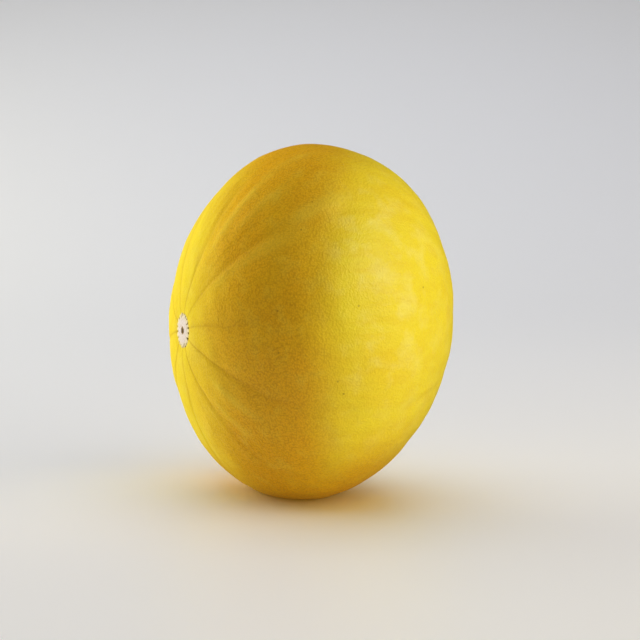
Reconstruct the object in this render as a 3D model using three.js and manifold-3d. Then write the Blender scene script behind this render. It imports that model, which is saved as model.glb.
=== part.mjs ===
// A round yellow honeydew melon standing on its rim, in millimetres, +Z up.
// The fruit's own axis runs along X: the corky blossom scar faces -X and the stem scar faces +X.
// The origin is the middle of the small flat spot that the melon rests on.
// The whole fruit is one closed skin, worked out point by point from two numbers:
// "along" is the angle from the blossom scar (0) to the stem scar (pi), seen from the middle, and
// "lobe" counts round the axis in furrows, so 3.5 is halfway between furrow 3 and furrow 4.
import * as THREE from "three";
import { mergeVertices } from "three/addons/utils/BufferGeometryUtils.js";
import Module from "manifold-3d";

// The fruit before any relief, and where its middle is, seen from the rest spot
const HALF_LENGTH = 62.5;
const HALF_DEPTH = 85.5;
const HALF_HEIGHT = 88;
const MIDDLE = new THREE.Vector3(2.3, -1.2, 83);

// Fuller and flatter parts of the flesh, each by its direction from the middle and its rise in mm.
// The bearing is counted from +X towards +Y, the climb from the horizon.
const SWELL_SPREAD = degrees(30);
const SWELLS = [
  { bearing: -22, climb: 0, rise: 8.5 }, // stem end, level
  { bearing: -22, climb: 36, rise: 9.5 }, // stem end, upper shoulder
  { bearing: -22, climb: 72, rise: 1.5 }, // crown, stem side
  { bearing: 158, climb: 72, rise: -2 }, // crown, blossom side
  { bearing: 158, climb: 36, rise: -3.5 }, // blossom end, upper shoulder
  { bearing: 158, climb: 0, rise: -0.5 }, // blossom end, level
  { bearing: 158, climb: -36, rise: 0.5 }, // blossom end, lower shoulder
  { bearing: 158, climb: -72, rise: 0.5 }, // belly, blossom side
  { bearing: -22, climb: -72, rise: -3 }, // belly, stem side
  { bearing: -22, climb: -36, rise: 0.5 }, // stem end, lower shoulder
];

// The ten furrows that run from scar to scar: each has its place round the axis in degrees from the
// top, its sway to and fro and its lean away from the blossom scar in degrees, its depth in mm, and
// the rise in mm of the rib after it
const FURROWS = [
  { at: 13.5, sway: -1.5, lean: -4, depth: 0.3, rib: 0.5 },
  { at: 44.5, sway: -1, lean: 2.5, depth: 0.15, rib: 0.7 },
  { at: 78.5, sway: -3, lean: 1, depth: 0.18, rib: 0.4 },
  { at: 110.5, sway: 0.5, lean: 2, depth: 0.28, rib: 0.5 },
  { at: 150.5, sway: 4, lean: -8, depth: 0.32, rib: 0.6 },
  { at: 182.5, sway: 1, lean: 0, depth: 0.2, rib: 0.6 },
  { at: 220, sway: -2, lean: 0, depth: 0.3, rib: 0.5 },
  { at: 258, sway: 2.5, lean: 0, depth: 0.22, rib: 0.6 },
  { at: 296, sway: -1.5, lean: 0, depth: 0.28, rib: 0.5 },
  { at: 334, sway: 2, lean: 0, depth: 0.18, rib: 0.6 },
];
const SWAYS_ALONG = 6; // turns of the sway in one turn about the middle
const LEAN_START = [degrees(10), degrees(60)]; // where the lean comes in
const FURROW_HALF_WIDTH = 2.6; // degrees round the axis
const FURROW_START = [degrees(6), degrees(24)]; // from the scar's edge to full depth
const FURROW_FADE = [degrees(35), degrees(75)]; // where it grows shallow, away from both ends
const FURROW_LEFT = 0.3; // share of the depth that is left in between
const RIB_START = [degrees(6), degrees(40)];
const LOBE_QUIET = [degrees(80), degrees(130)]; // the lobes grow fainter towards the stem
const LOBE_LEFT = 0.4; // share of the relief that is left there

// Short ridges beside the furrows: place and drift round the axis in degrees, where each starts and
// ends along the fruit in degrees, its half width in degrees and its rise in mm
const RIDGES = [
  { at: 50.5, drift: 0.5, start: 14, end: 76, halfWidth: 3.4, rise: 0.22 },
  { at: 46, drift: -6, start: 60, end: 98, halfWidth: 3, rise: 0.4 },
  { at: 27, drift: -9, start: 22, end: 72, halfWidth: 2.6, rise: 0.3 },
  { at: 33.5, drift: -5, start: 38, end: 76, halfWidth: 2.4, rise: 0.2 },
  { at: 17, drift: -2, start: 58, end: 98, halfWidth: 2.4, rise: 0.15 },
  { at: 124, drift: 0, start: 18, end: 54, halfWidth: 2.4, rise: 0.25 },
  { at: 137.5, drift: -2.5, start: 24, end: 52, halfWidth: 2.4, rise: 0.25 },
  { at: 180.5, drift: -6, start: 20, end: 60, halfWidth: 2.4, rise: 0.2 },
];
const RIDGE_FADE_IN = [0, 0.3]; // shares of the ridge's length
const RIDGE_FADE_OUT = [0.6, 1];

// The blossom scar: a thin corky disc with a toothed edge, a pit, and the dish it sits in
const SCAR_RADIUS = 8.6;
const SCAR_RISE = 0.5;
const SCAR_EDGE = 0.8;
const TEETH_PER_LOBE = 2;
const TOOTH_LENGTH = 0.9;
const SCAR_DISH = 0.8;
const SCAR_DISH_RADII = [4, 14];
const PIT_RADIUS = 2.1;
const PIT_DEPTH = 1.6;

// The stem scar: a woody button and the hollow it sits in
const STEM_RADIUS = 5.2;
const STEM_RISE = 0.9;
const STEM_EDGE = 1.2;
const STEM_HOLLOW = 2.4;
const STEM_HOLLOW_RADIUS = 17;

// The grid of the skin: shares of a lobe for the columns, closer beside the furrows,
// and distances from the axis for the rows round the two scars
const COLUMNS_IN_LOBE = [0, 0.06, 0.13, 0.21, 0.3, 0.4, 0.5, 0.6, 0.7, 0.79, 0.87, 0.94];
const SCAR_ROWS = [0.9, 1.5, 2.1, 4.5, 6.8, 7.6, 8.4, 9.2, 10.4, 12.5, 15.5, 19];
const STEM_ROWS = [2.4, 4.4, 5.2, 6.1, 8, 11, 15, 20];
const BODY_ROWS = 28;
const MERGE_WITHIN = 1e-4;

const RIND_YELLOW = new THREE.Color(0.9, 0.68, 0.06);
const RIND_ROUGHNESS = 0.5;

function degrees(value) {
  return (value * Math.PI) / 180;
}

// A rise from 0 to 1 as x goes from low to high
function smoothStep(low, high, x) {
  const t = Math.min(Math.max((x - low) / (high - low), 0), 1);
  return t * t * (3 - 2 * t);
}

// The angle round the axis of one furrow: it leans away from its place as it leaves the blossom
// scar, and sways about it, less and less towards the equator
function furrowTurn(index, along) {
  const turns = Math.floor(index / FURROWS.length);
  const furrow = FURROWS[index - turns * FURROWS.length];
  const calm = 1 - smoothStep(Math.PI / 3, Math.PI / 2, along);
  const sway = furrow.sway * calm * Math.cos(SWAYS_ALONG * along);
  const lean = furrow.lean * smoothStep(...LEAN_START, along);
  return degrees(360 * turns + furrow.at + sway + lean);
}

// The angle round the axis at any lobe number: a share of the way from one furrow to the next
function turnAt(along, lobe) {
  const k = Math.floor(lobe);
  const from = furrowTurn(k, along);
  return from + (furrowTurn(k + 1, along) - from) * (lobe - k);
}

// The sum of the swells in one direction: each falls off as its angle away grows
function swellAt(direction) {
  let rise = 0;
  for (const swell of SWELLS) {
    const bearing = degrees(swell.bearing);
    const climb = degrees(swell.climb);
    const middle = new THREE.Vector3(
      Math.cos(climb) * Math.cos(bearing),
      Math.cos(climb) * Math.sin(bearing),
      Math.sin(climb),
    );
    const away = (1 - direction.dot(middle)) / (1 - Math.cos(SWELL_SPREAD));
    rise += swell.rise * Math.exp(-away);
  }
  return rise;
}

// The relief of the lobes: a low round rib on each, less the furrow's valley on either side of it
function lobesAt(along, lobe) {
  const k = Math.floor(lobe);
  const share = lobe - k;
  const width = ((turnAt(along, k + 1) - turnAt(along, k)) * 180) / Math.PI;
  const toFurrow = width * Math.min(share, 1 - share);
  const fromEnd = Math.min(along, Math.PI - along);
  const strength = 1 - (1 - LOBE_LEFT) * smoothStep(...LOBE_QUIET, along);
  const rib = FURROWS[k % FURROWS.length].rib * Math.sin(Math.PI * share) ** 2;
  const nearest = FURROWS[Math.round(lobe) % FURROWS.length];
  const valley = nearest.depth * Math.exp(-((toFurrow / FURROW_HALF_WIDTH) ** 2));
  const fade = 1 - (1 - FURROW_LEFT) * smoothStep(...FURROW_FADE, fromEnd);
  const ribbed = rib * smoothStep(...RIB_START, fromEnd);
  return strength * (ribbed - valley * fade * smoothStep(...FURROW_START, fromEnd));
}

// The sum of the short ridges: each is a round bump across, faded at both of its ends
function ridgesAt(along, turn) {
  const around = turn % degrees(360);
  let rise = 0;
  for (const ridge of RIDGES) {
    const passed = (along - degrees(ridge.start)) / degrees(ridge.end - ridge.start);
    const middle = degrees(ridge.at + ridge.drift * Math.min(Math.max(passed, 0), 1));
    const across = (around - middle) / degrees(ridge.halfWidth);
    const fade = smoothStep(...RIDGE_FADE_IN, passed) * (1 - smoothStep(...RIDGE_FADE_OUT, passed));
    rise += ridge.rise * Math.exp(-(across ** 2)) * fade;
  }
  return rise;
}

// The blossom scar's relief: a raised disc whose edge goes in and out with the teeth, less the
// dish under it and the pit in it
function blossomScarAt(radius, lobe) {
  const gap = 0.5 + 0.5 * Math.cos(2 * Math.PI * TEETH_PER_LOBE * lobe);
  const edge = SCAR_RADIUS - TOOTH_LENGTH * gap;
  const disc = 1 - smoothStep(edge - SCAR_EDGE / 2, edge + SCAR_EDGE / 2, radius);
  const dish = 1 - smoothStep(...SCAR_DISH_RADII, radius);
  const pit = 1 - smoothStep(PIT_RADIUS / 2, PIT_RADIUS, radius);
  return SCAR_RISE * disc - SCAR_DISH * dish - PIT_DEPTH * pit;
}

// The stem scar's relief: a raised button, less the hollow round it
function stemScarAt(radius) {
  const button = 1 - smoothStep(STEM_RADIUS - STEM_EDGE / 2, STEM_RADIUS + STEM_EDGE / 2, radius);
  const hollow = 1 - smoothStep(STEM_RADIUS, STEM_HOLLOW_RADIUS, radius);
  return STEM_RISE * button - STEM_HOLLOW * hollow;
}

// A point of the skin: the ellipsoid's point, grown by the swells, then moved out by the relief
function skinPoint(along, lobe) {
  const turn = turnAt(along, lobe);
  const direction = new THREE.Vector3(
    -Math.cos(along),
    -Math.sin(along) * Math.sin(turn),
    Math.sin(along) * Math.cos(turn),
  );
  const halves = new THREE.Vector3(HALF_LENGTH, HALF_DEPTH, HALF_HEIGHT);
  const outward = direction.clone().divide(halves).normalize();
  const point = direction.clone().multiply(halves);
  point.multiplyScalar(1 + swellAt(direction) / HALF_HEIGHT);
  const radius = Math.hypot(point.y, point.z);
  const scar = along < Math.PI / 2 ? blossomScarAt(radius, lobe) : stemScarAt(radius);
  const relief = lobesAt(along, lobe) + ridgesAt(along, turn) + scar;
  return point.addScaledVector(outward, relief).add(MIDDLE);
}

// The rows from scar to scar: rings at the named distances from the axis, even steps in between
function rowAngles() {
  const acrossScar = (radius) => Math.asin(radius / HALF_HEIGHT);
  const first = SCAR_ROWS.map(acrossScar);
  const last = STEM_ROWS.map((radius) => Math.PI - acrossScar(radius)).reverse();
  const from = first[first.length - 1];
  const step = (last[0] - from) / BODY_ROWS;
  const body = Array.from({ length: BODY_ROWS - 1 }, (_, i) => from + step * (i + 1));
  return [...first, ...body, ...last];
}

// The skin as one closed mesh: a vertex at each pole and a ring of vertices for each row
function skinGeometry() {
  const rows = rowAngles();
  const columns = FURROWS.flatMap((_, k) => COLUMNS_IN_LOBE.map((share) => k + share));
  const rings = rows.flatMap((along) => columns.map((lobe) => skinPoint(along, lobe)));
  const points = [skinPoint(0, 0), ...rings, skinPoint(Math.PI, 0)];
  const around = columns.length;
  const vertexAt = (row, column) => 1 + row * around + (column % around);
  const lastRow = rows.length - 1;
  const triangles = [];
  for (let c = 0; c < around; c += 1) {
    triangles.push(0, vertexAt(0, c + 1), vertexAt(0, c));
    for (let r = 0; r < lastRow; r += 1) {
      const [a, b] = [vertexAt(r, c), vertexAt(r, c + 1)];
      const [d, e] = [vertexAt(r + 1, c), vertexAt(r + 1, c + 1)];
      triangles.push(a, b, d, b, e, d);
    }
    triangles.push(points.length - 1, vertexAt(lastRow, c), vertexAt(lastRow, c + 1));
  }
  const geometry = new THREE.BufferGeometry().setFromPoints(points);
  geometry.setIndex(triangles);
  return geometry;
}

const wasm = await Module();
wasm.setup();

// A closed geometry as a solid that can be cut
function solidOf(geometry) {
  geometry.deleteAttribute("normal");
  geometry.deleteAttribute("uv");
  const merged = mergeVertices(geometry, MERGE_WITHIN);
  return new wasm.Manifold(
    new wasm.Mesh({
      numProp: 3,
      vertProperties: merged.getAttribute("position").array,
      triVerts: new Uint32Array(merged.getIndex().array),
    }),
  );
}

// A solid as a geometry with flat faces
function geometryOf(solid) {
  const mesh = solid.getMesh();
  const geometry = new THREE.BufferGeometry();
  geometry.setAttribute("position", new THREE.BufferAttribute(mesh.vertProperties, 3));
  geometry.setIndex(new THREE.BufferAttribute(mesh.triVerts, 1));
  const faceted = geometry.toNonIndexed();
  faceted.computeVertexNormals();
  return faceted;
}

// The rest spot: everything below the ground is cut off flat
const groundSize = 4 * HALF_HEIGHT;
const ground = new THREE.BoxGeometry(groundSize, groundSize, groundSize);
ground.translate(0, 0, -groundSize / 2);
const fruit = solidOf(skinGeometry()).subtract(solidOf(ground));

const rind = new THREE.MeshStandardMaterial({
  color: RIND_YELLOW,
  roughness: RIND_ROUGHNESS,
  metalness: 0,
});
const melon = new THREE.Mesh(geometryOf(fruit), rind);
melon.name = "melon";

const part = new THREE.Group();
part.add(melon);
export default part;
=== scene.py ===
# %% [markdown]
# # A yellow honeydew melon, standing on its side
# The real thing is one grown fruit: a smooth ball of flesh, a little shorter along its own axis than
# it is across, with ten faint furrows running from the blossom scar to the stem scar. It could be
# sculpted, or grown from a sphere with displacement textures. Here every point of the skin is worked
# out by formula instead, so that the furrows, the ribs and the two scars all know where they are
# and the finishes can follow them.

import bpy
import numpy as np
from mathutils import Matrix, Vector


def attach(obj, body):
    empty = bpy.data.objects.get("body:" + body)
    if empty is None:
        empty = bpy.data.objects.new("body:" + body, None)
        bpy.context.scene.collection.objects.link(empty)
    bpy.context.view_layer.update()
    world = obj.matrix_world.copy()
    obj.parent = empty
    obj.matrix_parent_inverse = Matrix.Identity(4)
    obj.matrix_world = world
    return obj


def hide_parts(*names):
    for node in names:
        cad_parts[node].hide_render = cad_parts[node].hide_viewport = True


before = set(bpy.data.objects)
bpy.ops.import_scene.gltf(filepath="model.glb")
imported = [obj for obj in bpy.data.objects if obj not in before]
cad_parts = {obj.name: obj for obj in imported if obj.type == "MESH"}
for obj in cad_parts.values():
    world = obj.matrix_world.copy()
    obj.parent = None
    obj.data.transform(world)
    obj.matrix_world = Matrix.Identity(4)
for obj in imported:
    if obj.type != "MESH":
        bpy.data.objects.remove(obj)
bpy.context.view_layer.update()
MM = 0.001
print("nodes in the frame:", len(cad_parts))

# %% [markdown]
# ## The flesh
# Under the skin relief the fruit is an ellipsoid that grew fuller on some sides and flatter on
# others. A lattice pulled by hand could bend it too, but nobody could read off it what was done.
# Here each swelling is a smooth bump given by its direction from the middle and its rise, which is
# enough to bend the outline the way the photograph shows, with a handful of readable numbers.

# %% The driving sizes of the fruit, in millimetres and degrees
HALF_LENGTH, HALF_DEPTH, HALF_HEIGHT = 62.5, 85.5, 88.0
HALVES = np.array([HALF_LENGTH, HALF_DEPTH, HALF_HEIGHT])
MIDDLE = np.array([2.3, -1.2, 83.0])
SWELL_SPREAD = np.radians(30)
SWELLS = [  # bearing from +X towards +Y, climb above the horizon, rise
    (-22, 0, 8.5),
    (-22, 36, 9.5),
    (-22, 72, 1.5),
    (158, 72, -2.0),
    (158, 36, -3.5),
    (158, 0, -0.5),
    (158, -36, 0.5),
    (158, -72, 0.5),
    (-22, -72, -3.0),
    (-22, -36, 0.5),
]


# %% Small helpers for smooth shapes
def smooth_step(low, high, x):
    """A rise from 0 to 1 as x goes from low to high: t squared x (3 - 2 t), t the share of the way."""
    t = np.clip((x - low) / (high - low), 0, 1)
    return t * t * (3 - 2 * t)


def bump(x, half_width):
    """A round bump of height 1 at x = 0: e to the power of minus (x / half width) squared."""
    return np.exp(-((x / half_width) ** 2))


def swell(directions):
    """The sum over the swellings of rise x e to the power of (cos(angle away) - 1) / (1 - cos(spread))."""
    bearing, climb, rise = np.array(SWELLS, float).T
    bearing, climb = np.radians(bearing), np.radians(climb)
    middles = np.stack([np.cos(climb) * np.cos(bearing), np.cos(climb) * np.sin(bearing), np.sin(climb)])
    return np.exp((directions @ middles - 1) / (1 - np.cos(SWELL_SPREAD))) @ rise


print(len(SWELLS), "swellings, the fullest", max(rise for *_, rise in SWELLS), "mm")

# %% [markdown]
# ## Furrows, ribs and ridges
# Ten furrows mark where the fruit's veins run. They fan out from the blossom scar, sway a little, and
# grow shallow round the middle. Between two furrows the rind rises in a low rib. Each furrow could
# be carved along a drawn curve, but a carving cuts across the faces of the mesh. Counting round the
# fruit in furrows ("lobe" 3.5 is halfway between furrow 3 and furrow 4) makes each of these a simple
# function, and lets the columns of the mesh follow the furrows exactly.

# %% The furrows and what lies between them
FURROWS = np.array(
    [  # place round the axis from the top, sway, lean away from the blossom scar, rib after it, depth
        (13.5, -1.5, -4, 0.5, 0.30),
        (44.5, -1, 2.5, 0.7, 0.15),
        (78.5, -3, 1, 0.4, 0.18),
        (110.5, 0.5, 2, 0.5, 0.28),
        (150.5, 4, -8, 0.6, 0.32),
        (182.5, 1, 0, 0.6, 0.20),
        (220, -2, 0, 0.5, 0.30),
        (258, 2.5, 0, 0.6, 0.22),
        (296, -1.5, 0, 0.5, 0.28),
        (334, 2, 0, 0.6, 0.18),
    ]
)
LOBES = len(FURROWS)
SWAYS_ALONG = 6
FURROW_HALF_WIDTH, FURROW_LEFT = 2.6, 0.3
LOBE_LEFT = 0.4
RIDGES = [  # place round the axis, drift, where it starts and ends along the fruit, half width, rise
    (50.5, 0.5, 14, 76, 3.4, 0.22),
    (46, -6, 60, 98, 3.0, 0.40),
    (27, -9, 22, 72, 2.6, 0.30),
    (33.5, -5, 38, 76, 2.4, 0.20),
    (17, -2, 58, 98, 2.4, 0.15),
    (124, 0, 18, 54, 2.4, 0.25),
    (137.5, -2.5, 24, 52, 2.4, 0.25),
    (180.5, -6, 20, 60, 2.4, 0.20),
]


def furrow_turn(index, along):
    """Place + sway x cos(6 along), calming down past 60 degrees, + lean, coming in from 10 to 60."""
    place, sway, lean, _, _ = np.moveaxis(FURROWS[index % LOBES], -1, 0)
    calm = 1 - smooth_step(np.pi / 3, np.pi / 2, along)
    leaning = smooth_step(np.radians(10), np.radians(60), along)
    return 360 * (index // LOBES) + place + sway * calm * np.cos(SWAYS_ALONG * along) + lean * leaning


def turn_and_width(along, lobe):
    """The angle round the axis in degrees, a share of the way between two furrows, and their distance."""
    before = np.floor(lobe).astype(int)
    start = furrow_turn(before, along)
    width = furrow_turn(before + 1, along) - start
    return start + width * (lobe - before), width


def lobe_relief(along, lobe):
    """rib x sin(pi share) squared - depth x bump(degrees to the furrow), each faded in from the scars."""
    turn, width = turn_and_width(along, lobe)
    share = lobe % 1
    from_end = np.degrees(np.minimum(along, np.pi - along))
    height = FURROWS[np.floor(lobe).astype(int) % LOBES, 3]
    rib = height * np.sin(np.pi * share) ** 2 * smooth_step(6, 40, from_end)
    depth = FURROWS[np.round(lobe).astype(int) % LOBES, 4]
    fade = smooth_step(6, 24, from_end) * (1 - (1 - FURROW_LEFT) * smooth_step(35, 75, from_end))
    valley = bump(width * np.minimum(share, 1 - share), FURROW_HALF_WIDTH)
    quiet = 1 - (1 - LOBE_LEFT) * smooth_step(80, 130, np.degrees(along))
    return quiet * (rib - depth * valley * fade)


def ridge_relief(along, turn):
    """The sum over the ridges of rise x bump(degrees across) x a fade at both of its ends."""
    total = np.zeros_like(along)
    for place, drift, start, end, half_width, rise in RIDGES:
        passed = (np.degrees(along) - start) / (end - start)
        across = turn % 360 - place - drift * np.clip(passed, 0, 1)
        fade = smooth_step(0, 0.3, passed) * (1 - smooth_step(0.6, 1, passed))
        total += rise * bump(across, half_width) * fade
    return total


print(LOBES, "furrows and", len(RIDGES), "ridges")

# %% [markdown]
# ## The two scars
# The blossom scar is a thin corky disc, about as wide as a thumbnail. It has a toothed edge, because
# it tore as the fruit swelled under it, and a small pit in the middle where the flower sat. The stem
# scar is at the hidden end: a woody button in a shallow hollow. They could be little discs pressed
# on to the fruit, but the real ones are the same skin, healed. So both are relief of that skin, as
# plain functions of the distance from the axis, with the teeth as waves round it.

# %% The scars' sizes in millimetres and their relief
SCAR_RADIUS, SCAR_RISE, SCAR_EDGE = 8.6, 0.5, 0.5
TEETH_PER_LOBE, TOOTH_LENGTH = 2, 2.3
TIPS_LOWER, GAP_DEPTH, SLIT_DEPTH = 0.6, 0.35, 0.2
SCAR_DISH, DISH_INNER, DISH_OUTER = 0.8, 4.0, 14.0
PIT_RADIUS, PIT_DEPTH = 2.1, 1.6
STEM_RADIUS, STEM_RISE, STEM_EDGE = 5.2, 0.9, 1.2
STEM_HOLLOW, STEM_HOLLOW_RADIUS = 2.4, 17.0
STEM_CUP, RING_DEPTH, RING_HALF_WIDTH = 0.7, 0.3, 0.8


def waves(turn, counts, seed):
    """A sum of cosines round the axis with the named counts of waves and seeded places, from -1 to 1."""
    random = np.random.default_rng(seed)
    places = random.uniform(0, 2 * np.pi, len(counts))
    return sum(np.cos(np.radians(turn) * n + place) for n, place in zip(counts, places)) / len(counts)


def tooth_gap(turn, lobe):
    """1 in the middle of the slit between two teeth: (half + half cos) to the power of 4, uneven round."""
    shift = 0.9 * waves(turn, (3, 5, 7), 1)
    return (0.5 + 0.5 * np.cos(2 * np.pi * TEETH_PER_LOBE * lobe + shift)) ** 4


def blossom_scar(radius, turn, lobe):
    """Relief of the blossom scar and its masks: disc, slit between teeth, tips of the teeth, and pit."""
    slit = tooth_gap(turn, lobe) * (0.7 + 0.6 * waves(turn, (4, 9, 13), 2))
    tip = SCAR_RADIUS * (1 + 0.04 * waves(turn, (2, 7, 11), 6))
    edge = tip - TOOTH_LENGTH * slit
    disc = 1 - smooth_step(edge - SCAR_EDGE / 2, edge + SCAR_EDGE / 2, radius)
    full = 1 - smooth_step(tip - SCAR_EDGE, tip, radius)
    dish = 1 - smooth_step(DISH_INNER, DISH_OUTER, radius)
    pit_edge = PIT_RADIUS * (1.1 + 0.15 * waves(turn, (2, 3, 5), 3))
    pit = 1 - smooth_step(0.3 * PIT_RADIUS, pit_edge, radius)
    gap = full * (1 - disc)
    tips = disc * smooth_step(0.6 * SCAR_RADIUS, SCAR_RADIUS, radius)
    relief = SCAR_RISE * (disc - TIPS_LOWER * tips) - SCAR_DISH * dish - PIT_DEPTH * pit
    relief -= GAP_DEPTH * gap + SLIT_DEPTH * tips * slit
    return relief, disc, gap, tips, pit


def stem_scar(radius, turn):
    """Relief of the stem scar and its masks: button, and the brown ring where it meets the rind."""
    edge = STEM_RADIUS * (1 + 0.06 * waves(turn, (3, 5, 8, 13), 4))
    button = 1 - smooth_step(edge - STEM_EDGE / 2, edge + STEM_EDGE / 2, radius)
    hollow = 1 - smooth_step(STEM_RADIUS, STEM_HOLLOW_RADIUS, radius)
    ring = bump(radius - edge - STEM_EDGE / 2, RING_HALF_WIDTH)
    cupped = bump(radius, 0.45 * STEM_RADIUS)
    relief = STEM_RISE * (button - STEM_CUP * cupped) - STEM_HOLLOW * hollow - RING_DEPTH * ring
    return relief, button, ring


print("blossom scar", 2 * SCAR_RADIUS, "mm across with about", TEETH_PER_LOBE * LOBES, "teeth")

# %% [markdown]
# ## The grown unevenness of the rind
# A real rind is never a clean surface: it has soft swellings the size of a fingertip, and finer
# wrinkles that run along the fruit. A Displace modifier with a noise texture could give the first,
# but a sum of many slow waves in random directions does it in one line, without any repeat, and its
# height is known. The wrinkles are the same idea, with waves that run round the axis only. The whole
# skin is drawn in by about an eighth of a millimetre, so that it stays inside the CAD box.

# %% Soft unevenness as sums of waves
SOFT_WAVES, SOFT_HEIGHT = 90, 0.09
WRINKLE_WAVES, WRINKLE_HEIGHT = 26, 0.035
UNEVEN_INSET = 0.13


def soft_unevenness(points):
    """Sum of cos(k . point + place): directions even over the sphere, wavelengths from 9 to 34 mm."""
    random = np.random.default_rng(7)
    directions = random.normal(size=(SOFT_WAVES, 3))
    directions /= np.linalg.norm(directions, axis=1, keepdims=True)
    wave_numbers = 2 * np.pi / random.uniform(9, 34, SOFT_WAVES)
    places = random.uniform(0, 2 * np.pi, SOFT_WAVES)
    total = np.cos(points @ (directions * wave_numbers[:, None]).T + places).sum(-1)
    return SOFT_HEIGHT * total / np.sqrt(SOFT_WAVES / 2)


def wrinkles(along, turn):
    """Waves round the axis, 24 to 80 of them, each bent a little along the fruit, faded out at the ends."""
    random = np.random.default_rng(11)
    counts = random.integers(24, 80, WRINKLE_WAVES)
    places = random.uniform(0, 2 * np.pi, WRINKLE_WAVES)
    bends = random.uniform(2, 5, WRINKLE_WAVES)
    total = np.zeros_like(along)
    for count, place, bend in zip(counts, places, bends):
        total += np.cos(np.radians(turn) * count + place + np.cos(bend * along + place))
    ends = smooth_step(10, 40, np.degrees(np.minimum(along, np.pi - along)))
    return WRINKLE_HEIGHT * ends * total / np.sqrt(WRINKLE_WAVES / 2)


print("unevenness of about", SOFT_HEIGHT, "mm and wrinkles of about", WRINKLE_HEIGHT, "mm")

# %% [markdown]
# ## The skin as one grid
# The mesh is a grid of rows along the fruit and columns round it, closed by one vertex at each pole.
# A subdivided ball would spend as many faces on calm rind as on the scars. Here rows lie closer
# together at the scars, and columns close up beside the furrows, where the relief is sharp. That
# spends the faces where they show and keeps the fruit under 200,000 triangles.

# %% Rows and columns
ROWS, COLUMNS_PER_LOBE = 246, 40
BLOSSOM_CROWDING, STEM_CROWDING, FURROW_CROWDING = 8, 3, 0.72


def spread_rows(count):
    """Angles from scar to scar, spaced by one over a density: 1 + the crowding close to either scar."""
    fine = np.linspace(0, np.pi, 4001)
    density = 1 + BLOSSOM_CROWDING * (1 - smooth_step(0.11, 0.24, fine))
    density += STEM_CROWDING * (1 - smooth_step(0.1, 0.22, np.pi - fine))
    passed = np.concatenate([[0], np.cumsum((density[1:] + density[:-1]) / 2)])
    return np.interp(np.linspace(0, passed[-1], count + 2)[1:-1], passed, fine)


def spread_columns(per_lobe):
    """Lobe numbers whose steps are small beside each furrow: s - crowding x sin(2 pi s) / (2 pi)."""
    even = np.arange(LOBES * per_lobe) / per_lobe
    return even - FURROW_CROWDING * np.sin(2 * np.pi * even) / (2 * np.pi)


print(ROWS, "rows of", LOBES * COLUMNS_PER_LOBE, "columns")

# %% [markdown]
# ## Fine lines, painted shade and painted sheen
# Some things that are seen more than felt need the fruit's own directions too. In each furrow a hair
# line of brown runs out from the blossom scar and fades. Shade is painted in gold on a broad stripe
# where both lights graze and on the underside. Sheen is painted as milky patches on the cheek that
# faces the key light's reflection, with fainter milky patches everywhere. They could be painted on by
# hand. They are worked out here as masks instead, numbers from 0 to 1 at every point for the
# finishes to read, because then a line lies exactly in its furrow.

# %% Masks for the lines, the painted gold shade and the painted milky sheen
LINE_PER_DEPTH, LINE_RELIEF = 1.25, 0.16
LINE_HALF_WIDTH, LINE_WIDENING = 0.24, 0.008
VALLEY_HALF_WIDTH, CREST_RISE = 4.0, 0.3
# Painted shade: the gold stripe faces where both lights graze, and the underside is gold too.
SHADE_BAND_FACING = np.radians(-141)
# Painted sheen: the middle of the milky patches faces where the key light reflects.
SHEEN_BEARING, SHEEN_CLIMB = np.radians(-78), np.radians(18)
MILKY_ELSEWHERE = 0.35


def thin_line(radius, along, turn, width, lobe):
    """The fine dark line in each furrow near the scar: a bump about half a millimetre wide, and its fade."""
    share = lobe % 1
    across = np.radians(width * np.minimum(share, 1 - share)) * radius
    reach = 1 - smooth_step(12, 76, radius * (1 + 0.25 * waves(turn, (3, 5), 5)))
    strength = LINE_PER_DEPTH * FURROWS[np.round(lobe).astype(int) % LOBES, 4]
    outside_scar = smooth_step(SCAR_RADIUS - 1, SCAR_RADIUS, radius)
    return strength * bump(across, LINE_HALF_WIDTH + LINE_WIDENING * radius) * reach * outside_scar


def painted_shade_share(outward):
    """How much painted shade, in gold, the rind gets, by the way that it faces.

    The larger of two: a stripe that fades as the sideways part of the direction grows from 0.16 to
    0.70, on the half that faces the shade band's side, and 0.9 x a rise where the direction points down.
    """
    forward = outward[..., 0] * np.cos(SHADE_BAND_FACING) + outward[..., 1] * np.sin(SHADE_BAND_FACING)
    sideways = outward[..., 1] * np.cos(SHADE_BAND_FACING) - outward[..., 0] * np.sin(SHADE_BAND_FACING)
    stripe = (1 - smooth_step(0.16, 0.70, np.abs(sideways))) * smooth_step(-0.6, 0, forward)
    return np.maximum(stripe, 0.9 * smooth_step(-0.35, -0.9, outward[..., 2]))


def milky_and_sheen_share(outward):
    """A share everywhere + the rest x a rise as the cosine of the angle to the painted sheen's middle passes
    0.72 to 0.97.
    """
    bearing, climb = SHEEN_BEARING, SHEEN_CLIMB
    sheen_facing = np.array([np.cos(climb) * np.cos(bearing), np.cos(climb) * np.sin(bearing), np.sin(climb)])
    return MILKY_ELSEWHERE + (1 - MILKY_ELSEWHERE) * smooth_step(0.72, 0.97, outward @ sheen_facing)


print("the golden stripe faces", round(np.degrees(SHADE_BAND_FACING)), "degrees from +X")

# %% [markdown]
# ## All of it in one function
# Every point of the rind comes from the same few steps: the direction from the middle, the grown
# ellipsoid's point, then the relief added along the outward direction. A stack of modifiers could
# add one kind of relief after another, but one function gives each point its masks as well.

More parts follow.
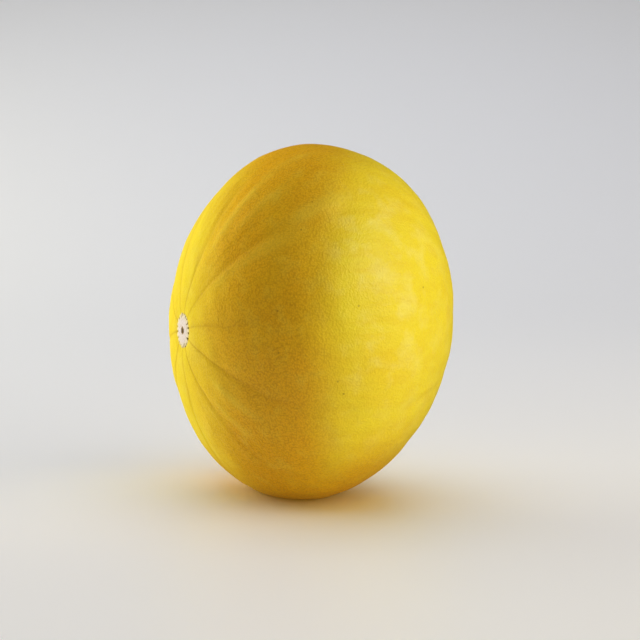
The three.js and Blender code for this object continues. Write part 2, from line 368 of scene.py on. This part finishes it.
# %% From two angles to a point of the rind
def skin(along, lobe):
    """Points of the rind in the row frame in mm, and the masks that the finishes read."""
    turn, width = turn_and_width(along, lobe)
    angle = np.radians(turn)
    direction = np.stack([-np.cos(along), -np.sin(along) * np.sin(angle), np.sin(along) * np.cos(angle)], -1)
    outward = direction / HALVES
    outward /= np.linalg.norm(outward, axis=-1, keepdims=True)
    points = direction * HALVES * (1 + swell(direction) / HALF_HEIGHT)[..., None]
    radius = np.hypot(points[..., 1], points[..., 2])
    blossom_side = along < np.pi / 2
    scar, disc, gap, tips, pit = blossom_scar(radius, turn, lobe)
    stem, button, ring = stem_scar(radius, turn)
    line = thin_line(radius, along, turn, width, lobe) * blossom_side
    calm = smooth_step(9, 20, radius)
    ridges = ridge_relief(along, turn)
    to_furrow = width * np.minimum(lobe % 1, 1 - lobe % 1)
    near_scar = 1 - smooth_step(50, 80, np.degrees(along))
    relief = lobe_relief(along, lobe) + ridges - LINE_RELIEF * line
    relief += np.where(blossom_side, scar, stem)
    relief += calm * (soft_unevenness(points) + wrinkles(along, turn)) - UNEVEN_INSET
    points = points + outward * relief[..., None] + MIDDLE
    masks = {
        "disc": disc * blossom_side,
        "gap": gap * blossom_side,
        "tips": tips * blossom_side,
        "pit": pit * blossom_side,
        "line": line,
        "valley": bump(to_furrow, VALLEY_HALF_WIDTH) * near_scar,
        "crest": np.clip(ridges / CREST_RISE, 0, 1),
        # Painted shade in gold, and painted milky sheen with fainter milky patches everywhere.
        "gold_and_shade": painted_shade_share(outward),
        "milky_and_sheen": milky_and_sheen_share(outward),
        "button": button * ~blossom_side,
        "ring": ring * ~blossom_side,
    }
    return points, masks


# %% [markdown]
# ## From the grid to a closed mesh
# The fruit lies on the ground with its own weight, so the skin is flat where it would go below. A
# plane could cut the mesh, and the hole be filled. Pressing the points flat by a formula keeps the
# mesh whole instead, and rounds the change over about a millimetre, as the real rind gives a little.

# %% Close the grid into a mesh
REST_ROUNDING = 0.8
POLE_ANGLE = 1e-4


def settle(points):
    """Flattens what is below the ground: z becomes half of z + sqrt(z squared + rounding squared)."""
    z = points[:, 2]
    points[:, 2] = (z + np.sqrt(z * z + REST_ROUNDING**2)) / 2
    points[:, 2] -= points[:, 2].min()
    return points


def closed_faces(rows, columns):
    """Quads between the rings and a fan of triangles round each pole, all facing outwards."""
    ring = np.arange(rows * columns).reshape(rows, columns)
    following = np.roll(ring, -1, axis=1)
    quads = np.stack([ring[:-1], following[:-1], following[1:], ring[1:]], -1).reshape(-1, 4)
    first, last = rows * columns, rows * columns + 1
    start = np.stack([np.full(columns, first), following[0], ring[0]], -1)
    end = np.stack([np.full(columns, last), ring[-1], following[-1]], -1)
    return quads.tolist() + start.tolist() + end.tolist()


def make_melon():
    """The whole fruit as one mesh, with a float attribute for each mask."""
    along, lobe = np.meshgrid(spread_rows(ROWS), spread_columns(COLUMNS_PER_LOBE), indexing="ij")
    points, masks = skin(along, lobe)
    poles, pole_masks = skin(np.array([POLE_ANGLE, np.pi - POLE_ANGLE]), np.zeros(2))
    points = settle(np.concatenate([points.reshape(-1, 3), poles]))
    mesh = bpy.data.meshes.new("melon_rind")
    mesh.from_pydata((points * MM).tolist(), [], closed_faces(*along.shape))
    mesh.polygons.foreach_set("use_smooth", np.ones(len(mesh.polygons), bool))
    for name, mask in masks.items():
        attribute = mesh.attributes.new(name, "FLOAT", "POINT")
        attribute.data.foreach_set("value", np.concatenate([mask.ravel(), pole_masks[name]]))
    mesh.update()
    rind = bpy.data.objects.new("melon_rind", mesh)
    bpy.context.scene.collection.objects.link(rind)
    return rind


melon_rind = make_melon()
melon_rind.data.calc_loop_triangles()
print("triangles:", len(melon_rind.data.loop_triangles))

# %% [markdown]
# ## The finishes
# The rind is waxy and satin, with a fine pebbled grain that shows wherever light grazes it, and pores
# that are darkest where the gold and the painted shade lie. It is lemon yellow with milky patches,
# with shade painted in gold on the stripe where both lights graze and on the underside, milky sheen
# painted where the key light reflects, and browner in the furrows. The scars are dry cork: pale and
# matt at the blossom end, browner at the stem end. One material holds all of it, and the masks on
# the mesh say where each finish lies, so no texture has to be painted.


# %% A short way to add shader nodes
def node(tree, kind, **values):
    """Adds a node. A value is a setting, or goes to the input of that name, or _number, as value or link."""
    made = tree.nodes.new(kind)
    for key, value in values.items():
        if hasattr(made, key):
            setattr(made, key, value)
            continue
        place = made.inputs[int(key[1:]) if key[1:].isdigit() else key]
        if isinstance(value, bpy.types.NodeSocket):
            tree.links.new(value, place)
        else:
            place.default_value = value
    return made


def mask_of(tree, name):
    """The mesh's own mask of that name."""
    return node(tree, "ShaderNodeAttribute", attribute_name=name).outputs["Fac"]


def noise(tree, place, size, detail, roughness):
    """Soft noise whose patches are about size metres wide."""
    made = node(tree, "ShaderNodeTexNoise", Vector=place, Scale=1 / size, Detail=detail, Roughness=roughness)
    return made.outputs["Fac"]


def ranged(tree, value, low, high, to_low=0.0, to_high=1.0):
    """Value from low to high spread over to_low to to_high, and held there outside."""
    made = node(tree, "ShaderNodeMapRange", _0=value, _1=low, _2=high, _3=to_low, _4=to_high)
    return made.outputs[0]


def maths(tree, operation, first, second):
    """First and second joined by the operation."""
    return node(tree, "ShaderNodeMath", operation=operation, _0=first, _1=second).outputs[0]


def mixed(tree, share, first, second):
    """Colour first, going over to second as share goes from 0 to 1."""
    return node(tree, "ShaderNodeMix", data_type="RGBA", _0=share, _6=first, _7=second).outputs[2]


# %% The rind's colours, and the sizes and shares of what grows on it
RIND = (0.82, 0.63, 0.026, 1)
# Painted shade: the gold of the shade band and the underside, also in random patches.
RIND_GOLD_AND_SHADE = (0.80, 0.42, 0.012, 1)
RIND_PALE = (0.83, 0.66, 0.06, 1)
# Painted sheen: the milky colour where the key light reflects, and of fainter patches everywhere.
RIND_MILKY_SHEEN = (0.86, 0.73, 0.17, 1)
RIND_DEEP = (0.72, 0.44, 0.012, 1)
FURROW_BROWN = (0.44, 0.19, 0.006, 1)
SPECK_BROWN = (0.16, 0.07, 0.01, 1)
CORK = (0.72, 0.63, 0.54, 1)
CORK_TIP = (0.82, 0.70, 0.30, 1)
CORK_SHADE = (0.52, 0.37, 0.20, 1)
GAP_BROWN = (0.17, 0.08, 0.02, 1)
PIT_RIM = (0.48, 0.32, 0.10, 1)
PIT_BROWN = (0.05, 0.02, 0.008, 1)
STEM_BROWN = (0.33, 0.22, 0.11, 1)
BROAD_SIZE, CLOUD_SIZE, PATCH_SIZE, STREAK_SIZE = 45 * MM, 11 * MM, 9 * MM, 5 * MM
PEBBLE_SIZE, PORE_SIZE, FIBRE_SIZE = 1.25 * MM, 0.95 * MM, 0.9 * MM
PATCH_RELIEF, PEBBLE_RELIEF, PORE_RELIEF = 0.25 * MM, 0.15 * MM, 0.15 * MM
STREAK_STRETCH, GOLD_PATCHINESS = 0.22, 0.15
PALE_SHARE, MILKY_SHEEN_SHARE, DEEP_SHARE = 0.25, 0.42, 0.25
# Grain share on lemon rind, and where the gold and the painted shade lie.
GRAIN_ON_LEMON, GRAIN_ON_GOLD_AND_SHADE = 0.06, 0.40
CREST_SHARE, VALLEY_SHARE, SPECK_SHARE = 0.3, 0.12, 0.45
SMOOTHEST, ROUGHEST, CORK_ROUGHER, RIND_GLOSS = 0.36, 0.46, 0.4, 0.12
SPECK_SIZE = 0.7 * MM
SPECKS = [  # degrees along the fruit from the blossom scar, and round it from the top
    (75, 41),
    (67, 50),
    (52, 77),
    (52, 93),
    (76, 101),
    (79, 105),
    (85, 78),
    (119, 72),
]


def point_on_rind(along_degrees, turn_degrees):
    """The nearest point of the finished mesh to a place given by its two angles, in metres."""
    along, turn = np.radians([along_degrees, turn_degrees])
    direction = [-np.cos(along), -np.sin(along) * np.sin(turn), np.sin(along) * np.cos(turn)]
    aim = (np.array(direction) * HALVES + MIDDLE) * MM
    return melon_rind.closest_point_on_mesh(Vector(aim))[1]


def speck_mask(tree, place):
    """1 in the middle of any speck, falling to 0 as the distance from its place reaches the speck's size."""
    total = 0.0
    for angles in SPECKS:
        away = node(tree, "ShaderNodeVectorMath", operation="DISTANCE", _0=place, _1=point_on_rind(*angles))
        spot = ranged(tree, away.outputs["Value"], 0.35 * SPECK_SIZE, SPECK_SIZE, 1.0, 0.0)
        total = maths(tree, "MAXIMUM", total, spot)
    return total


def rind_colour(tree, place, patches, pores):
    """Lemon to gold with painted shade, then each patch, painted milky sheen, streak, pore, ridge, furrow and
    speck mixed in by its own share.
    """
    # Painted shade: gold where the shade band and the underside lie, with random gold patches on top.
    broad = noise(tree, place, BROAD_SIZE, 3.0, 0.5)
    uneven = ranged(tree, broad, 0.35, 0.65, -GOLD_PATCHINESS, GOLD_PATCHINESS)
    gold_and_shade = maths(tree, "ADD", mask_of(tree, "gold_and_shade"), uneven)
    colour = mixed(tree, gold_and_shade, RIND, RIND_GOLD_AND_SHADE)
    colour = mixed(tree, ranged(tree, patches, 0.52, 0.72, 0.0, PALE_SHARE), colour, RIND_PALE)

    # Painted sheen: milky patches mostly where the key light reflects, fewer where there is painted shade.
    sheen_share = maths(tree, "MULTIPLY", mask_of(tree, "milky_and_sheen"), ranged(tree, gold_and_shade, 0.1, 0.8, MILKY_SHEEN_SHARE, 0.0))
    clouds = ranged(tree, noise(tree, place, CLOUD_SIZE, 4.0, 0.55), 0.48, 0.68)
    colour = mixed(tree, maths(tree, "MULTIPLY", clouds, sheen_share), colour, RIND_MILKY_SHEEN)

    grown = node(tree, "ShaderNodeMapping", Vector=place, Scale=(STREAK_STRETCH, 1, 1)).outputs["Vector"]
    streaks = noise(tree, grown, STREAK_SIZE, 3.0, 0.6)
    colour = mixed(tree, ranged(tree, streaks, 0.45, 0.7, 0.0, DEEP_SHARE), colour, RIND_DEEP)

    # Pores painted darker where the gold and the painted shade lie.
    grain_by_shade = ranged(tree, gold_and_shade, 0.0, 1.0, GRAIN_ON_LEMON, GRAIN_ON_GOLD_AND_SHADE)
    grain = maths(tree, "MULTIPLY", ranged(tree, pores, 0.35, 0.75), grain_by_shade)
    colour = mixed(tree, grain, colour, FURROW_BROWN)
    colour = mixed(tree, maths(tree, "MULTIPLY", mask_of(tree, "crest"), CREST_SHARE), colour, RIND_PALE)
    colour = mixed(tree, maths(tree, "MULTIPLY", mask_of(tree, "valley"), VALLEY_SHARE), colour, FURROW_BROWN)
    colour = mixed(tree, mask_of(tree, "line"), colour, FURROW_BROWN)
    return mixed(tree, maths(tree, "MULTIPLY", speck_mask(tree, place), SPECK_SHARE), colour, SPECK_BROWN)


def with_scars(tree, place, colour):
    """Over the rind's colour: cork with yellow tips, brown gaps, the pit, and the woody stem scar."""
    fibre = noise(tree, place, FIBRE_SIZE, 3.0, 0.6)
    cork = mixed(tree, ranged(tree, fibre, 0.45, 0.75, 0.0, 0.6), CORK, CORK_SHADE)
    cork = mixed(tree, maths(tree, "MULTIPLY", mask_of(tree, "tips"), 0.7), cork, CORK_TIP)
    colour = mixed(tree, mask_of(tree, "disc"), colour, cork)
    colour = mixed(tree, maths(tree, "MULTIPLY", mask_of(tree, "gap"), 0.9), colour, GAP_BROWN)
    colour = mixed(tree, ranged(tree, mask_of(tree, "pit"), 0.05, 0.35), colour, PIT_RIM)
    colour = mixed(tree, ranged(tree, mask_of(tree, "pit"), 0.45, 0.80), colour, PIT_BROWN)
    stem = mixed(tree, ranged(tree, fibre, 0.4, 0.7), STEM_BROWN, CORK_SHADE)
    colour = mixed(tree, mask_of(tree, "button"), colour, stem)
    return mixed(tree, maths(tree, "MULTIPLY", mask_of(tree, "ring"), 0.7), colour, GAP_BROWN)


def rind_roughness(tree, patches):
    """Satin that varies with the patches, and rougher where the cork and the stem's button are dry."""
    dry = maths(tree, "MAXIMUM", mask_of(tree, "disc"), mask_of(tree, "button"))
    satin = ranged(tree, patches, 0.3, 0.7, SMOOTHEST, ROUGHEST)
    return maths(tree, "ADD", satin, maths(tree, "MULTIPLY", dry, CORK_ROUGHER))


def rind_relief(tree, *layers):
    """One bump over another, each a height and how far it rises."""
    normal = {}
    for height, rise in layers:
        layer = node(tree, "ShaderNodeBump", Height=height, Distance=rise, **normal)
        normal = {"Normal": layer.outputs["Normal"]}
    return normal["Normal"]


def make_rind_finish():
    """Satin yellow rind, with the scars' cork mixed in by the masks."""
    material = bpy.data.materials.new("rind")
    material.use_nodes = True
    tree = material.node_tree
    place = node(tree, "ShaderNodeTexCoord").outputs["Object"]
    patches = noise(tree, place, PATCH_SIZE, 3.0, 0.55)
    pebble = noise(tree, place, PEBBLE_SIZE, 2.0, 0.6)
    pores = node(tree, "ShaderNodeTexVoronoi", Vector=place, Scale=1 / PORE_SIZE).outputs["Distance"]

    colour = with_scars(tree, place, rind_colour(tree, place, patches, pores))
    relief = rind_relief(tree, (pebble, PEBBLE_RELIEF), (pores, PORE_RELIEF), (patches, PATCH_RELIEF))
    shader = tree.nodes["Principled BSDF"]
    shader.inputs["Specular IOR Level"].default_value = RIND_GLOSS
    tree.links.new(colour, shader.inputs["Base Color"])
    tree.links.new(rind_roughness(tree, patches), shader.inputs["Roughness"])
    tree.links.new(relief, shader.inputs["Normal"])
    return material


melon_rind.data.materials.append(make_rind_finish())
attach(melon_rind, "root")
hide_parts("melon")
for finish in melon_rind.data.materials:
    print("finish:", finish.name, "with", len(finish.node_tree.nodes), "nodes")

# %% [markdown]
# ## Camera and floor
# The camera looks a little down on the fruit from the blossom end's side, through a long lens, so the
# outline hardly changes with distance. A flat floor with a wall behind it would show a line where
# they meet, so the fruit stands on a plain pale sheet that curves up behind it instead.

# %% The camera
CAMERA_AZIMUTH, CAMERA_CLIMB = np.radians(-23.0), np.radians(7.0)
CAMERA_DISTANCE = 1.1
LENS, SENSOR = 125.5, 36.0
FRAME_RIGHT, FRAME_UP = 9.8 * MM, 2.1 * MM

towards_camera = Vector(
    (
        np.sin(CAMERA_AZIMUTH) * np.cos(CAMERA_CLIMB),
        -np.cos(CAMERA_AZIMUTH) * np.cos(CAMERA_CLIMB),
        np.sin(CAMERA_CLIMB),
    )
)
picture_right = Vector((np.cos(CAMERA_AZIMUTH), np.sin(CAMERA_AZIMUTH), 0))
picture_up = towards_camera.cross(picture_right)
middle = Vector(MIDDLE * MM)

camera = bpy.data.objects.new("camera", bpy.data.cameras.new("camera"))
camera.data.lens = LENS
camera.data.sensor_width = SENSOR
aside = picture_right * FRAME_RIGHT + picture_up * FRAME_UP
camera.location = middle + towards_camera * CAMERA_DISTANCE + aside
camera.rotation_mode = "QUATERNION"
camera.rotation_quaternion = (-towards_camera).to_track_quat("-Z", "Y")
bpy.context.scene.collection.objects.link(camera)
bpy.context.scene.camera = camera
print("camera at", [round(c, 3) for c in camera.location])

# %% The floor that curves up into a backdrop
FLOOR_WIDTH, FLOOR_NEAR, FLOOR_FAR = 6.0, 0.4, 0.7
BEND_RADIUS, WALL_HEIGHT = 1.8, 1.2
PAPER_WHITE, PAPER_ROUGHNESS = 0.90, 0.5


def make_floor():
    """A profile (flat, quarter circle, upright) carried sideways, turned to face the camera."""
    flat = np.stack([np.linspace(-FLOOR_NEAR, FLOOR_FAR, 9), np.zeros(9)], -1)
    bend = np.linspace(0, np.pi / 2, 25)[1:]
    curve = np.stack([FLOOR_FAR + BEND_RADIUS * np.sin(bend), BEND_RADIUS * (1 - np.cos(bend))], -1)
    wall = np.array([[FLOOR_FAR + BEND_RADIUS, BEND_RADIUS + WALL_HEIGHT]])
    profile = np.concatenate([flat, curve, wall])
    sides = np.linspace(-FLOOR_WIDTH / 2, FLOOR_WIDTH / 2, 7)
    back, height = profile.T
    across = np.array(picture_right)[:2]
    away = np.array([-across[1], across[0]])
    plan = back[:, None, None] * away + sides[None, :, None] * across
    points = np.concatenate([plan, np.broadcast_to(height[:, None, None], plan.shape[:2] + (1,))], -1)
    grid = np.arange(len(profile) * len(sides)).reshape(len(profile), len(sides))
    quads = np.stack([grid[:-1, :-1], grid[:-1, 1:], grid[1:, 1:], grid[1:, :-1]], -1).reshape(-1, 4)
    mesh = bpy.data.meshes.new("floor")
    mesh.from_pydata(points.reshape(-1, 3).tolist(), [], quads.tolist())
    mesh.polygons.foreach_set("use_smooth", np.ones(len(mesh.polygons), bool))
    made = bpy.data.objects.new("floor", mesh)
    bpy.context.scene.collection.objects.link(made)
    return made


def make_paper():
    """Plain matt paper, nearly white."""
    paper = bpy.data.materials.new("paper")
    paper.use_nodes = True
    shader = paper.node_tree.nodes["Principled BSDF"]
    shader.inputs["Base Color"].default_value = (PAPER_WHITE, PAPER_WHITE, PAPER_WHITE, 1)
    shader.inputs["Roughness"].default_value = PAPER_ROUGHNESS
    return paper


floor = make_floor()
floor.data.materials.append(make_paper())
floor.visible_glossy = False
print("floor of", FLOOR_WIDTH, "m with a bend of", BEND_RADIUS, "m")

# %% [markdown]
# ## Light
# A soft light on the right and a harder one behind on the left leave a dark band between them, and a
# faint one from below stands for what a wider bright sheet would throw up. One set of lights could
# serve fruit and sheet alike, but the light that shapes the fruit leaves the sheet uneven. So each
# is kept to one thing by light linking, as black flags do in a studio. The sheet has warm low lights
# and cool ones from above: where both fall it is neutral, and where the fruit shuts out the light
# from above it glows warm. The sheet is also left out of the rind's gloss, which it would veil with
# white along the edges.

# %% The lights
NEUTRAL, AMBER, WARM, COOL = (1, 1, 1), (1.0, 0.80, 0.36), (1.0, 0.94, 0.68), (0.8, 0.88, 1.12)
FRUIT_LIGHTS = [  # name, degrees right of the camera, climb, distance, width, power, colour
    ("key", 57, 31, 1.5, 1.3, 25.0, NEUTRAL),
    ("rim", -122, 15, 1.5, 1.0, 41.0, NEUTRAL),
    ("glow", -15, -55, 1.5, 1.5, 4.5, NEUTRAL),
]
SHEET_LIGHTS = [
    ("sheet_right", 60, 28, 1.5, 1.7, 17.0, AMBER),
    ("sheet_left", -122, 15, 1.5, 1.5, 16.0, WARM),
    ("overhead", 0, 88, 1.6, 2.0, 15.0, COOL),
    ("behind", 180, 45, 1.6, 1.5, 6.5, COOL),
]
NO_GLOSS = ["rim", "glow"]


def make_light(name, right_of_camera, climb, distance, width, power, colour, thing):
    """A soft square light with its bearing counted from the camera's, kept to one thing."""
    bearing, climb = CAMERA_AZIMUTH + np.radians(right_of_camera), np.radians(climb)
    towards = Vector((np.sin(bearing) * np.cos(climb), -np.cos(bearing) * np.cos(climb), np.sin(climb)))
    light = bpy.data.lights.new(name, "AREA")
    light.size, light.energy, light.color = width, power, colour
    made = bpy.data.objects.new(name, light)
    made.location = middle + towards * distance
    made.rotation_mode = "QUATERNION"
    made.rotation_quaternion = (-towards).to_track_quat("-Z", "Y")
    bpy.context.scene.collection.objects.link(made)
    lit = bpy.data.collections.new("lit_by_" + name)
    lit.objects.link(thing)
    made.light_linking.receiver_collection = lit
    if thing == melon_rind:
        made.light_linking.blocker_collection = lit
    made.visible_glossy = name not in NO_GLOSS


for light in FRUIT_LIGHTS:
    make_light(*light, thing=melon_rind)
for light in SHEET_LIGHTS:
    make_light(*light, thing=floor)

ROOM_BRIGHTNESS, ROOM_COLOUR = 0.03, (1.0, 0.98, 0.95, 1)
world = bpy.data.worlds.new("room")
world.use_nodes = True
room = world.node_tree.nodes["Background"]
room.inputs["Color"].default_value = ROOM_COLOUR
room.inputs["Strength"].default_value = ROOM_BRIGHTNESS
bpy.context.scene.world = world
bpy.context.scene.view_settings.view_transform = "Standard"
print(len(FRUIT_LIGHTS) + len(SHEET_LIGHTS), "lights")
